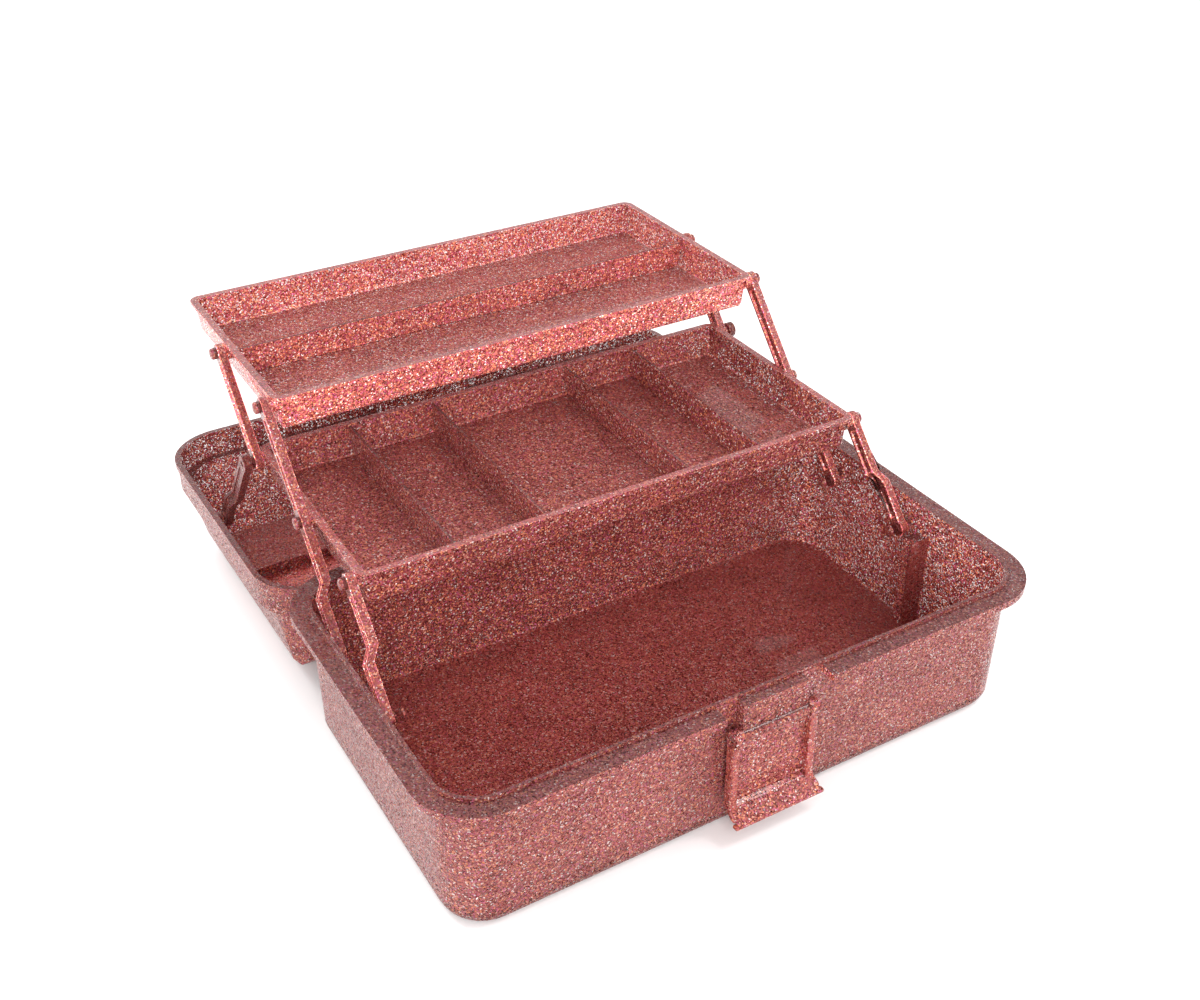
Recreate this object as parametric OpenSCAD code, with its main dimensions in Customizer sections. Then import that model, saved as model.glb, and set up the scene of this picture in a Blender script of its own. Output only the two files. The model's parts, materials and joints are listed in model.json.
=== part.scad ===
// Art supply box with two trays that rise on swinging arms as the lid opens.
// Origin: centre of the base's underside. +X to the right, -Y to the front, +Z up.
// It stands open: the lid lies back on its carrying handle, the trays are raised
// and the front latch hangs down. Lengths are in millimetres, angles in degrees.

/* [Base] */
// Overall width of the rim, left to right
rim_w = 330; // [316:1:350]
// Overall depth of the rim, front to back
rim_d = 191; // [186:1:206]
// Height of the rim's top face above the table
base_h = 74; // [72:1:84]
// How far the rim stands out past the base's wall
rim_overhang = 8.6; // [8.4:0.1:10]
// Thickness of the rim
rim_t = 3.7; // [3:0.1:4.5]
// Plan radius of the rim's corners
rim_corner_r = 31; // [26:1:36]
// Thickness of the base's wall
base_wall = 2.3; // [2:0.1:2.6]
// Thickness of the base's floor
base_floor_t = 2.4; // [1.8:0.1:3.5]
// How much the base's wall leans in from rim to floor
base_draft = 0.9; // [0.4:0.1:1.6]
// Radius of the base's bottom edge
base_edge_r = 5; // [3:0.5:7]
// Height of the locating lip above the rim
lip_h = 1.6; // [1:0.1:2.4]
// Gap between the locating lip and the back of the lid's latch pocket when the lid is shut
lip_gap = 0.6; // [0.4:0.1:1]

/* [Lid] */
// How far the lid's rim stands out past its upright band
band_out = 1; // [0.6:0.1:1.6]
// How far the lid's walls above the band are set in from the rim's edge
lid_overhang = 6.2; // [5.8:0.1:6.4]
// Thickness of the lid's rim
lid_rim_t = 3.7; // [3:0.1:4.5]
// Thickness of the lid's wall
lid_wall = 2.2; // [1.8:0.1:2.2]
// Height of the upright band above the lid's rim
lid_band_h = 17; // [15:0.5:18]
// How far the lid's sides and back lean in above the band
lid_side_lean = 4.5; // [3:0.5:7]
// How far the lid's front slopes back above the band
lid_front_lean = 24; // [18:1:26]
// Distance of the front edge of the lid's raised panel in front of the box's middle. The panel
// makes room for the upper tray as it swings
panel_front = 17; // [16.5:0.5:18]
// Depth of the panel, front to back
panel_d = 72; // [71:1:76]
// Radius of the lid's top edge
lid_edge_r = 4; // [3:0.5:5]
// Gap between the two rims when the lid is shut
rim_gap = 0.3; // [0.2:0.1:0.6]
// Angle that the lid turns through from shut to open
lid_swing = 181.75; // [180:0.25:184]

/* [Lid hinge] */
// Distance of the hinge axis behind the rim's rear edge
hinge_back = 1; // [0.6:0.1:1.6]
// Distance of the hinge axis below the rim's top face
hinge_drop = 5; // [4.8:0.1:6]
// Outside radius of the hinge knuckles
knuckle_r = 4.4; // [3.6:0.1:4.5]
// Length of each hinge knuckle
knuckle_len = 12; // [9:0.5:16]
// Distance of each hinge's middle from the box's middle
hinge_x = 92; // [70:1:105]
// Radius of the hinge pins
hinge_pin_r = 1.5; // [1.2:0.1:1.8]

/* [Trays] */
// Width of each tray over its rim
tray_w = 283; // [272:1:284]
// Depth of each tray over its rim
tray_d = 135; // [130:1:137]
// Height of each tray
tray_h = 19.6; // [17.6:0.2:19.6]
// Thickness of the tray walls
tray_wall = 1.7; // [1.4:0.1:2.2]
// Thickness of the tray floors
tray_floor_t = 1.8; // [1.4:0.1:2.4]
// How far a tray's rim stands out past its wall
tray_rim_out = 2; // [1.2:0.1:2.4]
// Thickness of a tray's rim
tray_rim_t = 1.8; // [1.4:0.1:2.4]
// How much the tray walls lean in from rim to floor
tray_draft = 1.8; // [1:0.1:2.4]
// Plan radius of a tray's corners
tray_corner_r = 6; // [5:0.5:9]
// Radius of a tray's bottom edge
tray_edge_r = 3; // [2:0.5:4]
// Thickness of the dividers
divider_t = 1.6; // [1.2:0.1:2.2]
// Distance of the middle tray's dividers from its middle, left to right
divider_1_x = -92.5; // [-100:0.5:-80]
divider_2_x = -44.5; // [-55:0.5:-35]
divider_3_x = 38; // [30:0.5:48]
divider_4_x = 82; // [72:0.5:92]
// How far the upper tray's long divider stays below its rim
long_divider_drop = 3; // [1:0.5:6]
// Distance of the long divider from the upper tray's front edge
long_divider_y = 67.5; // [55:0.5:80]

/* [Arms] */
// Distance of the rear arms' base pivots in front of the hinge axis
rear_pivot_in = 43.5; // [41.5:0.5:46]
// Depth of the base pivots below the rim's top face
base_pivot_drop = 15; // [14:0.5:17]
// Distance between the rear and front pivots of each set
arm_spacing = 57; // [56:0.5:58]
// Length of the arms between the base and the middle tray
lower_arm = 63.5; // [62:0.5:65]
// Length of the arms between the middle and the upper tray
upper_arm = 59.5; // [58.5:0.5:61]
// Distance between the middle tray's middle and rear pivots
link_spacing = 66; // [62:0.5:67]
// Angle of the arms above the table with the trays raised
arm_angle = 48; // [46:0.5:50]
// Angle that the arms turn through from raised to stowed
arm_swing = 112.4; // [111:0.1:112.5]
// Width of the arms
arm_w = 7.6; // [6.4:0.1:8]
// Thickness of the arms
arm_t = 4.4; // [3.8:0.1:4.6]
// Width of the groove along each arm's faces
groove_w = 3.8; // [3:0.1:4.4]
// Depth of the groove along each arm's faces
groove_depth = 1; // [0.5:0.1:1.3]
// Outside radius of the bosses at the arms' pivots
boss_r = 4.5; // [4.2:0.1:4.7]
// Distance from the base pivot to where an arm steps inwards
step_at = 26; // [24:0.5:30]
// Length of that step along the arm
step_len = 7; // [5:0.5:9]
// Distance of the pivots below a tray's rim
tray_pivot_drop = 5; // [4.8:0.1:5.6]
// Distance of the front pivots behind a tray's front edge
tray_pivot_y = 6.5; // [6:0.5:8]

/* [Lid links] */
// Height of the links' lid pivots above the hinge, with the lid shut
link_rise = 18.5; // [16.5:0.5:19.5]
// Width of the links
link_w = 7.6; // [6.4:0.1:8]
// Thickness of the links
link_t = 4.4; // [3.8:0.1:4.6]
// Distance from the inner face of the lid's band to the links
link_room = 5.8; // [5:0.1:6.4]

/* [Pins and clearances] */
// Radius of the pivot pins
pin_r = 1.6; // [1.3:0.1:2]
// Radius of the pins' heads
head_r = 3; // [2.5:0.1:3.6]
// Thickness of the pins' heads
head_t = 1.2; // [0.8:0.1:1.4]
// Radial gap between a pin and what turns on it
turn_gap = 0.08; // [0.05:0.01:0.1]
// Radial gap between a pin and what holds it
seat_gap = 0.02; // [0.01:0.01:0.04]
// Gap between parts that turn side by side
side_gap = 0.2; // [0.15:0.05:0.4]
// Gap between a lid link's free eye and the pin's head beside it
open_gap = 0.4; // [0.3:0.05:0.6]
// Gap between an arm and the edge of a tray's rim
arm_tray_gap = 0.5; // [0.4:0.1:0.8]
// Length of the bosses between the base's wall and the arms
wall_boss_len = 2.9; // [2:0.1:3.2]

/* [Latch] */
// Width of the gap in both rims for the latch
latch_gap_w = 58; // [54:1:64]
// Width of the latch's block and of the lid's catch
latch_block_w = 36; // [30:1:40]
// Depth of the latch pivot below the rim's top face
latch_pivot_drop = 17; // [16:0.5:18.5]
// Distance of the latch pivot behind the rim's front edge
latch_pivot_y = 3.6; // [3.4:0.1:3.8]
// Radius of the block's barrel
latch_barrel_r = 3.2; // [2.9:0.1:3.4]
// Radius of the latch's ears
latch_ear_r = 4.2; // [3.8:0.1:4.4]
// Width of each ear
latch_ear_w = 5.2; // [4:0.1:6]
// Thickness of the latch's plate
latch_plate_t = 2; // [1.6:0.1:2]
// Distance of the plate's outer face behind the pivot when it hangs
latch_plate_y = 3; // [2.9:0.1:3]
// Depth of the latch's side walls
latch_cheek_y = 5.4; // [4:0.1:5.4]
// Length from the pivot to where the lip begins
latch_plate_len = 40; // [39:0.5:42]
// Length from the pivot to the lip's end
latch_len = 46.2; // [45.5:0.1:48]
// Height of the lid's catch above its rim
catch_h = 19.1; // [18.5:0.1:19.4]

/* [Handle] */
// Distance between the handle's outer faces
handle_w = 112; // [90:1:120]
// Distance from the handle's pivot to the middle of its grip
handle_reach = 30; // [26:1:30]
// Width of the grip, measured across the lid
grip_w = 13; // [11:0.5:13]
// Height of the folded grip above the lid's top; the open lid lies on it
handle_proud = 5.4; // [5.2:0.1:6]
// Gap between the handle's pivot lugs and the raised panel
handle_room = 1.4; // [1:0.1:2]

/* [Hidden] */

$fn = 48;
HULL_FN = 32;   // roundness of the corners inside hulls
SKIN = 0.01;    // thickness of the slices that a hull joins
PAST = 1;       // how far a cut runs past the face that it opens
BITE = 0.6;     // how far a boss reaches into the wall that carries it

front_y = -rim_d / 2;
rear_y = rim_d / 2;

// Half widths of the planes that things lie in, measured from the box's middle
function base_wall_in(z) = rim_w / 2 - rim_overhang - base_wall - base_draft * (1 - z / base_h);
base_pivot_z = base_h - base_pivot_drop;
tray_plane = tray_w / 2 + arm_tray_gap + arm_t / 2;
wall_boss_x = base_wall_in(base_pivot_z) - wall_boss_len;
base_plane = wall_boss_x - side_gap - arm_t / 2;
function tray_wall_out(drop) = tray_w / 2 - tray_rim_out - tray_draft * drop / tray_h;

// Pivots as [y, z] with the trays raised
function swing(len, angle) = len * [cos(angle), sin(angle)];
hinge_at = [rear_y + hinge_back, base_h - hinge_drop];
rear_pivot = [hinge_at[0] - rear_pivot_in, base_pivot_z];
front_pivot = rear_pivot - [arm_spacing, 0];
middle_rear = rear_pivot + swing(lower_arm, arm_angle);
middle_front = middle_rear - [arm_spacing, 0];
middle_link = middle_rear + [link_spacing, 0];
upper_front = rear_pivot + swing(lower_arm + upper_arm, arm_angle);
upper_link = upper_front + [link_spacing, 0];

// Each tray's front edge and rim height
middle_at = middle_front + [-tray_pivot_y, tray_pivot_drop];
upper_at = upper_front + [-tray_pivot_y, tray_pivot_drop];

// The handle, drawn with the lid shut: its pivot, in front of the raised panel, and its grip
lug_t = 4;
lug_r = (handle_proud + 0.8) / 2;
handle_arm_w = 9;
handle_pin_r = 1.3;
grip_lift = 0.4;
grip_r = (handle_proud - grip_lift) / 2 - 0.3;
table_gap = 0.1;
handle_y = -panel_front - handle_room - lug_r;
grip_y = handle_y - handle_reach;

// Height of the shut lid's grip, from where its rounded edge meets the table with the lid open
function touch_z(y) = hinge_at[1] + grip_r
    + (hinge_at[1] - grip_r - table_gap - (y - hinge_at[0]) * sin(lid_swing)) / -cos(lid_swing);
grip_top = min(touch_z(grip_y - grip_w / 2 + grip_r), touch_z(grip_y + grip_w / 2 - grip_r));

// The lid is drawn shut and then turned back about its hinge
lid_z = base_h + rim_gap;
lid_top = grip_top - handle_proud;
lid_h = lid_top - lid_z;
handle_axis = [handle_y, lid_top + lug_r];
handle_arm_t = handle_proud - 1;
function turned(p, angle) = hinge_at + [
    (p[0] - hinge_at[0]) * cos(angle) - (p[1] - hinge_at[1]) * sin(angle),
    (p[1] - hinge_at[1]) * cos(angle) + (p[0] - hinge_at[0]) * sin(angle)];

// The links' lid pivot is as far from the trays' pivot with the lid shut as with it open:
// it lies on the line midway between the trays' pivot stowed and, as the lid sees it, raised
stowed_angle = arm_angle + arm_swing;
link_stowed = rear_pivot + swing(lower_arm, stowed_angle) + [link_spacing, 0];
link_raised = turned(middle_link, lid_swing);
link_mid = (link_stowed + link_raised) / 2;
link_span = link_raised - link_stowed;
lid_pivot_z = hinge_at[1] + link_rise;
lid_pivot = [link_mid[0] - (lid_pivot_z - link_mid[1]) * link_span[1] / link_span[0], lid_pivot_z];
lid_pivot_open = turned(lid_pivot, -lid_swing);
link_run = middle_link - lid_pivot_open;
link_len = norm(link_run);
link_angle = atan2(link_run[1], link_run[0]);

link_plane_tray = tray_plane + arm_t / 2 + side_gap + head_t + open_gap + link_t / 2;
lid_band_in = rim_w / 2 - band_out - lid_wall;
link_boss_x = lid_band_in - link_room;
link_plane_lid = link_boss_x - side_gap - link_t / 2;

middle_dividers = [divider_1_x, divider_2_x, divider_3_x, divider_4_x];

/* ---------- shared shapes ---------- */

// A flat rounded rectangle centred on the origin
module rounded(w, d, r) {
    square([w - 2 * r, d], center = true);
    square([w, d - 2 * r], center = true);
    for (x = [-1, 1], y = [-1, 1])
        translate([x * (w / 2 - r), y * (d / 2 - r)]) circle(r);
}

// A thin slice of a rounded rectangle, for a hull
module slice(w, d, r, z, inset) {
    corner = max(r - inset, 1);
    for (x = [-1, 1], y = [-1, 1])
        translate([x * (w / 2 - inset - corner), y * (d / 2 - inset - corner), z])
            cylinder(h = SKIN, r = corner, $fn = HULL_FN);
}

// An open tub, solid: leaning walls and a rounded bottom edge
module tub(w, d, h, r, draft, edge) {
    hull() {
        slice(w, d, r, 0, draft + edge);
        slice(w, d, r, edge * 0.3, draft + edge * 0.3);
        slice(w, d, r, edge, draft * (1 - edge / h));
        slice(w, d, r, h - SKIN, 0);
    }
}

// A ring that stands out around a wall
module ring(w, d, r, t, hole_w, hole_d, hole_r) {
    linear_extrude(t) difference() {
        rounded(w, d, r);
        rounded(hole_w, hole_d, hole_r);
    }
}

// A rod along X from x0 to x1 with its axis at [y, z]
module rod(r, x0, x1, at) {
    translate([min(x0, x1), at[0], at[1]]) rotate([0, 90, 0]) cylinder(h = abs(x1 - x0), r = r);
}

// Draws its child as it is on the right and mirrored on the left
module both_sides() {
    children();
    mirror([1, 0, 0]) children();
}

module on_side(left) {
    if (left) mirror([1, 0, 0]) children();
    else children();
}

// A headed pin: the shank runs from the head's inner face at x_head to x_tip
module headed_pin(r, x_head, x_tip, at) {
    way = x_head > x_tip ? 1 : -1;
    rod(r, x_head, x_tip, at);
    rod(head_r, x_head, x_head + way * head_t, at);
}

/* ---------- base ---------- */

base_in_w = rim_w - 2 * (rim_overhang + base_wall);
base_in_d = rim_d - 2 * (rim_overhang + base_wall);
wall_corner_r = rim_corner_r - rim_overhang;
lip_set = lid_overhang + lid_wall + lip_gap;
lip_in = rim_overhang + base_wall - 0.3;
pin_seat = wall_boss_len + base_wall * 0.6;
stop_d = 8;
stop_y = front_pivot[0] - boss_r - 1 - stop_d;
stop_gap = 0.3;

module base_shell() {
    difference() {
        tub(rim_w - 2 * rim_overhang, rim_d - 2 * rim_overhang, base_h, wall_corner_r,
            base_draft, base_edge_r);
        translate([0, 0, base_floor_t])
            tub(base_in_w, base_in_d, base_h - base_floor_t + PAST, wall_corner_r - base_wall,
                base_draft, base_edge_r - 1);
    }
    translate([0, 0, base_h - rim_t])
        ring(rim_w, rim_d, rim_corner_r, rim_t, base_in_w + base_wall, base_in_d + base_wall,
            wall_corner_r - base_wall / 2);
    translate([0, 0, base_h - rim_t / 2])
        ring(rim_w - 2 * lip_set, rim_d - 2 * lip_set, rim_corner_r - lip_set, rim_t / 2 + lip_h,
            rim_w - 2 * lip_in, rim_d - 2 * lip_in, rim_corner_r - lip_in);
}

// A rib on each end wall that the front arms come down on; its top follows the arm's edge
module arm_stop() {
    slope = tan(180 - stowed_angle);
    under = arm_w / 2 / cos(180 - stowed_angle) + stop_gap;
    function top(y) = front_pivot[1] + (front_pivot[0] - y) * slope - under;
    x_in = base_plane - arm_t / 2;
    x_out = base_wall_in(base_h) + BITE;
    foot = base_floor_t / 2;
    intersection() {
        translate([x_in, 0, 0]) rotate([90, 0, 90]) linear_extrude(x_out - x_in)
            polygon([[stop_y, 0], [stop_y + stop_d, 0],
                [stop_y + stop_d, top(stop_y + stop_d)], [stop_y, top(stop_y)]]);
        translate([0, stop_y + stop_d + PAST, 0]) rotate([90, 0, 0]) linear_extrude(stop_d + 2 * PAST)
            polygon([[x_in, foot], [x_out - base_edge_r, foot], [x_out, foot + base_edge_r],
                [x_out, base_h], [x_in, base_h]]);
    }
}

// A row of knuckles along X; the base has the outer two and the lid the middle one
module knuckle(x, at) {
    rod(knuckle_r, x - knuckle_len / 2, x + knuckle_len / 2, at);
}

knuckle_step = knuckle_len + side_gap;
knuckle_notch = knuckle_len + 2 * side_gap;

module base_knuckles() {
    for (step = [-1, 1]) knuckle(hinge_x + step * knuckle_step, hinge_at);
}

latch_at = [front_y + latch_pivot_y, base_h - latch_pivot_drop];
block_front = front_y + latch_pivot_y - latch_plate_y + latch_plate_t + 0.4;
base_wall_out = front_y + rim_overhang + base_draft;

module latch_block() {
    translate([-latch_block_w / 2, block_front, latch_at[1]])
        cube([latch_block_w, base_wall_out + BITE - block_front, base_h - latch_at[1]]);
    rod(latch_barrel_r, -latch_block_w / 2, latch_block_w / 2, latch_at);
    translate([-latch_block_w / 2, latch_at[0], latch_at[1] - latch_barrel_r])
        cube([latch_block_w, base_wall_out + BITE - latch_at[0], latch_barrel_r]);
}

module base_tub() {
    color("#b06c68") difference() {
        union() {
            difference() {
                base_shell();
                // room for the latch in the front rim
                translate([-latch_gap_w / 2, front_y - PAST, base_h - rim_t - PAST])
                    cube([latch_gap_w, rim_overhang + PAST, rim_t + PAST * 2]);
                // room for the lid's knuckles in the rear rim
                both_sides() rod(knuckle_r + 0.5, hinge_x - knuckle_notch / 2,
                    hinge_x + knuckle_notch / 2, hinge_at);
            }
            both_sides() {
                base_knuckles();
                arm_stop();
                for (at = [rear_pivot, front_pivot])
                    rod(boss_r, wall_boss_x, wall_boss_x + wall_boss_len + BITE, at);
            }
            latch_block();
        }
        both_sides() {
            rod(hinge_pin_r + seat_gap, hinge_x - 2 * knuckle_len, hinge_x + 2 * knuckle_len, hinge_at);
            for (at = [rear_pivot, front_pivot])
                rod(pin_r + seat_gap, wall_boss_x - PAST, wall_boss_x + pin_seat, at);
        }
        rod(pin_r + seat_gap, -latch_block_w, latch_block_w, latch_at);
    }
}

module base_pivot_pins() {
    head_face = base_plane - arm_t / 2 - side_gap;
    color("#b87672") both_sides()
        for (at = [rear_pivot, front_pivot])
            headed_pin(pin_r, head_face, wall_boss_x + pin_seat - side_gap, at);
}

module hinge_pins() {
    half = 1.5 * knuckle_len + side_gap;
    color("silver") both_sides() rod(hinge_pin_r, hinge_x - half, hinge_x + half, hinge_at);
}

/* ---------- lid ---------- */

// Half of a lid's outline across a cut: upright to the band, leaning in above it, then
// a bevel to the top. It runs PAST the upright wall so that only the lean cuts it
function lean_side(half, lean, h, edge, band, low, over) = [
    [half + PAST, low - PAST],
    [half + PAST, band - PAST * (h - edge - band) / lean],
    [half - lean, h - edge],
    [half - lean - edge - over, h + over]];

function flipped(points) = [for (k = [len(points) - 1 : -1 : 0]) [-points[k][0], points[k][1]]];

// The lid's form above its rim, solid, with its rim at z = 0 and its walls from low up
module lid_form(w, d, r, h, edge, band, low) {
    side = lean_side(w / 2, lid_side_lean, h, edge, band, low, PAST);
    rear = lean_side(d / 2, lid_side_lean, h, edge, band, low, 0);
    front = lean_side(d / 2, lid_front_lean, h, edge, band, low, 0);
    intersection() {
        translate([0, 0, low]) linear_extrude(h + PAST - low) rounded(w, d, r);
        translate([0, d / 2 + PAST, 0]) rotate([90, 0, 0]) linear_extrude(d + 2 * PAST)
            polygon(concat(side, flipped(side)));
        translate([-w / 2 - PAST, 0, 0]) rotate([90, 0, 90]) linear_extrude(w + 2 * PAST)
            polygon(concat(rear, flipped(front)));
    }
}

module opened_lid() {
    translate([0, hinge_at[0], hinge_at[1]]) rotate([-lid_swing, 0, 0])
        translate([0, -hinge_at[0], -hinge_at[1]]) children();
}

lid_out_w = rim_w - 2 * lid_overhang;
lid_out_d = rim_d - 2 * lid_overhang;
lid_in_w = lid_out_w - 2 * lid_wall;
lid_in_d = lid_out_d - 2 * lid_wall;
lid_corner_r = rim_corner_r - lid_overhang;
band_w = rim_w - 2 * band_out;
band_d = rim_d - 2 * band_out;
band_r = rim_corner_r - band_out;
panel_w = 2 * (rim_w / 2 - lid_overhang - lid_side_lean - lid_edge_r - 2);
panel_r = 8;
panel_bevel = 1.2;

module shut_lid() {
    translate([0, hinge_at[0], hinge_at[1]]) rotate([lid_swing, 0, 0])
        translate([0, -hinge_at[0], -hinge_at[1]]) children();
}

// The raised panel's block, from a height up to a face that lies level, at a height above
// the table, when the lid is open
module panel_block(inset, from, above_table) {
    intersection() {
        translate([0, -panel_front + panel_d / 2, from]) linear_extrude(lid_h)
            rounded(panel_w - 2 * inset, panel_d - 2 * inset, panel_r - inset);
        shut_lid() translate([-rim_w / 2, rear_y, above_table]) cube([rim_w, 2 * rim_d, lid_h]);
    }
}

// The latch's pocket in the front of the band, as wide as the gap plus a margin on each side
module latch_pocket(margin, y_to, from, to) {
    translate([-latch_gap_w / 2 - margin, front_y - PAST, from])
        cube([latch_gap_w + 2 * margin, y_to + PAST, to - from]);
}

module lid_body() {
    translate([0, 0, lid_z]) difference() {
        union() {
            lid_form(lid_out_w, lid_out_d, lid_corner_r, lid_h, lid_edge_r, lid_band_h,
                lid_rim_t / 2);
            difference() {
                union() {
                    linear_extrude(lid_band_h + lid_wall / 4) rounded(band_w, band_d, band_r);
                    linear_extrude(lid_rim_t) rounded(rim_w, rim_d, rim_corner_r);
                }
                latch_pocket(0, lid_overhang, -PAST, lid_band_h + PAST);
            }
        }
        lid_form(lid_in_w, lid_in_d, lid_corner_r - lid_wall, lid_h - lid_wall,
            lid_edge_r - 1, lid_band_h - lid_wall / 3, lid_rim_t / 2 - PAST);
        difference() {
            translate([0, 0, -PAST]) linear_extrude(lid_band_h - lid_wall + PAST)
                rounded(band_w - 2 * lid_wall, band_d - 2 * lid_wall, band_r - lid_wall);
            latch_pocket(lid_wall, lid_overhang + lid_wall, -2 * PAST, lid_band_h);
        }
    }
    panel_block(0, lid_top - lid_wall / 2, table_gap + panel_bevel);
    panel_block(panel_bevel, lid_top, table_gap);
}

// A web from the lid's rim down round each middle knuckle
module lid_knuckle() {
    knuckle(hinge_x, hinge_at);
    translate([hinge_x - knuckle_len / 2, rear_y - band_out - lid_wall / 2, lid_z])
        cube([knuckle_len, band_out + lid_wall / 2 + hinge_back + knuckle_r, lid_rim_t]);
    translate([hinge_x - knuckle_len / 2, hinge_at[0], hinge_at[1]])
        cube([knuckle_len, knuckle_r, lid_z - hinge_at[1] + lid_rim_t]);
}

module handle_lug() {
    x_in = handle_w / 2 + side_gap;
    foot = lid_top - lid_wall / 2;
    rod(lug_r, x_in, x_in + lug_t, handle_axis);
    translate([x_in, handle_axis[0] - lug_r, foot])
        cube([lug_t, 2 * lug_r, handle_axis[1] - foot]);
}

module lid_shell() {
    catch_back = front_y + lid_overhang + lid_wall * 0.8;
    color("#b06c68") opened_lid() difference() {
        union() {
            difference() {
                lid_body();
                // the raised panel is hollow
                panel_block(lid_wall, lid_top - lid_wall - PAST, table_gap + lid_wall);
            }
            translate([-latch_block_w / 2, block_front, lid_z])
                cube([latch_block_w, catch_back - block_front, catch_h]);
            both_sides() {
                lid_knuckle();
                handle_lug();
                rod(boss_r, link_boss_x, lid_band_in + BITE, lid_pivot);
            }
        }
        both_sides() {
            rod(hinge_pin_r + turn_gap, hinge_x - knuckle_len, hinge_x + knuckle_len, hinge_at);
            rod(pin_r + seat_gap, link_boss_x - PAST, link_boss_x + 1.8, lid_pivot);
            rod(handle_pin_r + seat_gap, handle_w / 2, handle_w / 2 + 2 * lug_t, handle_axis);
        }
    }
}

module lid_link_pins() {
    color("#b87672") opened_lid() both_sides()
        headed_pin(pin_r, link_plane_lid - link_t / 2 - side_gap, link_boss_x + 1.6, lid_pivot);
}

/* ---------- handle ---------- */

// The grip's outline across the box, a rounded bar
module grip_profile() {
    grip_bottom = lid_top + grip_lift;
    translate([grip_y, (grip_top + grip_bottom) / 2])
        rounded(grip_w, grip_top - grip_bottom, grip_r);
}

module handle() {
    x_out = handle_w / 2;
    x_arm = x_out - handle_arm_w;
    arm_low = handle_axis[1] - handle_arm_t / 2;
    arm_len = handle_reach - grip_w / 2 + grip_r;
    color("#b87672") opened_lid() difference() {
        union() {
            translate([-x_out, 0, 0]) rotate([90, 0, 90]) linear_extrude(handle_w) grip_profile();
            both_sides() {
                rod(handle_arm_t / 2, x_arm, x_out, handle_axis);
                translate([x_arm, handle_axis[0] - arm_len, arm_low])
                    cube([handle_arm_w, arm_len, handle_arm_t]);
            }
        }
        both_sides()
            rod(handle_pin_r + turn_gap, x_arm - PAST, x_out + PAST, handle_axis);
    }
}

module handle_pins() {
    color("silver") opened_lid() both_sides()
        rod(handle_pin_r, handle_w / 2 - handle_arm_w + 0.5, handle_w / 2 + side_gap + lug_t, handle_axis);
}

/* ---------- latch ---------- */

ear_x = latch_block_w / 2 + side_gap;
latch_half_w = ear_x + latch_ear_w;
plate_back = latch_plate_y;
plate_front = plate_back - latch_plate_t;
cheek_front = plate_back - latch_cheek_y;
cheek_t = 2.4;
catch_rib_z = -(lid_z + catch_h - latch_at[1]) - 0.4;
catch_rib_h = 1.4;
catch_rib_out = 1.2;
latch_tip_t = 0.8;
latch_tip_gap = 0.4;

// The lip ends just clear of the lid's sloping front when the latch is up
function lid_slope_in(z) = lid_overhang
    + lid_front_lean * (z - lid_band_h) / (lid_h - lid_edge_r - lid_band_h);
latch_flare = lid_slope_in(latch_at[1] + latch_len - latch_tip_t - lid_z)
    - latch_pivot_y - latch_tip_gap;

// Hanging plate with side walls, ears and a flared lip; the pivot is at [0, 0]
module latch_side(back, front, low) {
    polygon([[front, -latch_ear_r], [back, -latch_ear_r], [back, low], [front, low]]);
}

module across(w, x0) {
    translate([x0, latch_at[0], latch_at[1]]) rotate([90, 0, 90]) linear_extrude(w) children();
}

module latch_flap() {
    lip_root = latch_plate_t + 1.2;
    color("#b46a62") difference() {
        union() {
            across(2 * latch_half_w, -latch_half_w) {
                latch_side(plate_back, plate_front, -latch_plate_len);
                polygon([[plate_back, -latch_plate_len + 1], [plate_front, -latch_plate_len + 1],
                    [cheek_front, -latch_plate_len - 0.4], [-latch_flare, -latch_len + latch_tip_t],
                    [-latch_flare, -latch_len], [cheek_front + 1, -latch_plate_len - lip_root],
                    [plate_back, -latch_plate_len - 1.2]]);
                polygon([[plate_front - catch_rib_out, catch_rib_z],
                    [plate_front, catch_rib_z],
                    [plate_front, catch_rib_z - catch_rib_h],
                    [plate_front - catch_rib_out, catch_rib_z - catch_rib_h]]);
            }
            for (x0 = [-latch_half_w, latch_half_w - cheek_t])
                across(cheek_t, x0) latch_side(plate_back, cheek_front, -latch_plate_len);
            for (x0 = [-latch_half_w, ear_x]) {
                rod(latch_ear_r, x0, x0 + latch_ear_w, latch_at);
                across(latch_ear_w, x0)
                    polygon([[cheek_front, -latch_ear_r - 1], [plate_back, -latch_ear_r - 1],
                        [plate_back, 0], [cheek_front, 0]]);
            }
        }
        rod(pin_r + turn_gap, -latch_half_w - PAST, latch_half_w + PAST, latch_at);
    }
}

module latch_pin() {
    color("silver") rod(pin_r, -latch_half_w + 0.5, latch_half_w - 0.5, latch_at);
}

/* ---------- trays ---------- */

tray_out_w = tray_w - 2 * tray_rim_out;
tray_out_d = tray_d - 2 * tray_rim_out;
tray_in_w = tray_out_w - 2 * tray_wall;
tray_in_d = tray_out_d - 2 * tray_wall;
tray_pin_depth = 3.2;

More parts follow.
